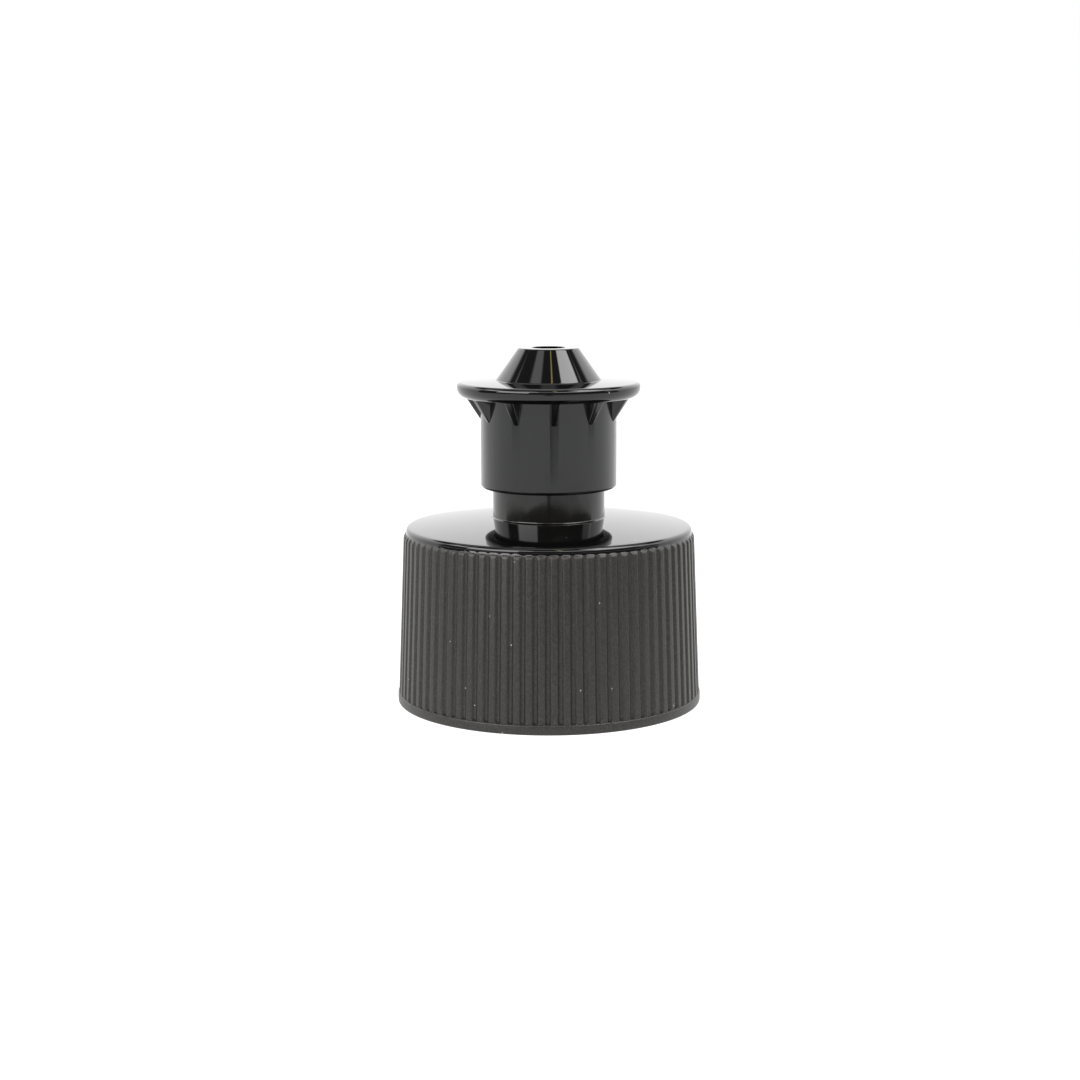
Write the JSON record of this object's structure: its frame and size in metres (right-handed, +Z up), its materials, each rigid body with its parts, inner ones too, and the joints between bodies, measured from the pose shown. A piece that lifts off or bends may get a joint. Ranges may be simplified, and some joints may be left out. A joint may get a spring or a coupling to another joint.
{
  "type": "push-pull dispensing closure",
  "caption": "Screw-on bottle closure with a ribbed skirt, a domed deck and a flanged spout that pulls up to pour and pushes down over a stopper pin to shut.",
  "frame": {"origin": "centre of the closure's bottom rim, on its axis, on the plane that it stands on", "axes": "+Z up the closure's axis, from the skirt's mouth to the orifice; -Y is the front; +X is to the right seen from the front"},
  "size_m": [0.031, 0.031, 0.036],
  "materials": {
    "cap_plastic": "black polypropylene, fine matt grain on the ribs, polished deck and rim",
    "post_plastic": "black polypropylene, fine satin polish",
    "spout_plastic": "black polyethylene, satin sleeve with faint moulding streaks, polished flange and nozzle",
    "liner_foam": "white foamed polyethylene"
  },
  "bodies": {
    "cap": {"screw_cap": "cap_plastic", "neck_thread": "cap_plastic", "sealing_liner": "liner_foam", "valve_post": "post_plastic", "stopper_pin": "post_plastic"},
    "spout": {"pull_spout": "spout_plastic"}
  },
  "joints": [
    {"name": "spout_slide", "type": "slide", "parent": "cap", "child": "spout", "axis": [0, 0, 1], "range_m": [-0.0028, 0]}
  ]
}
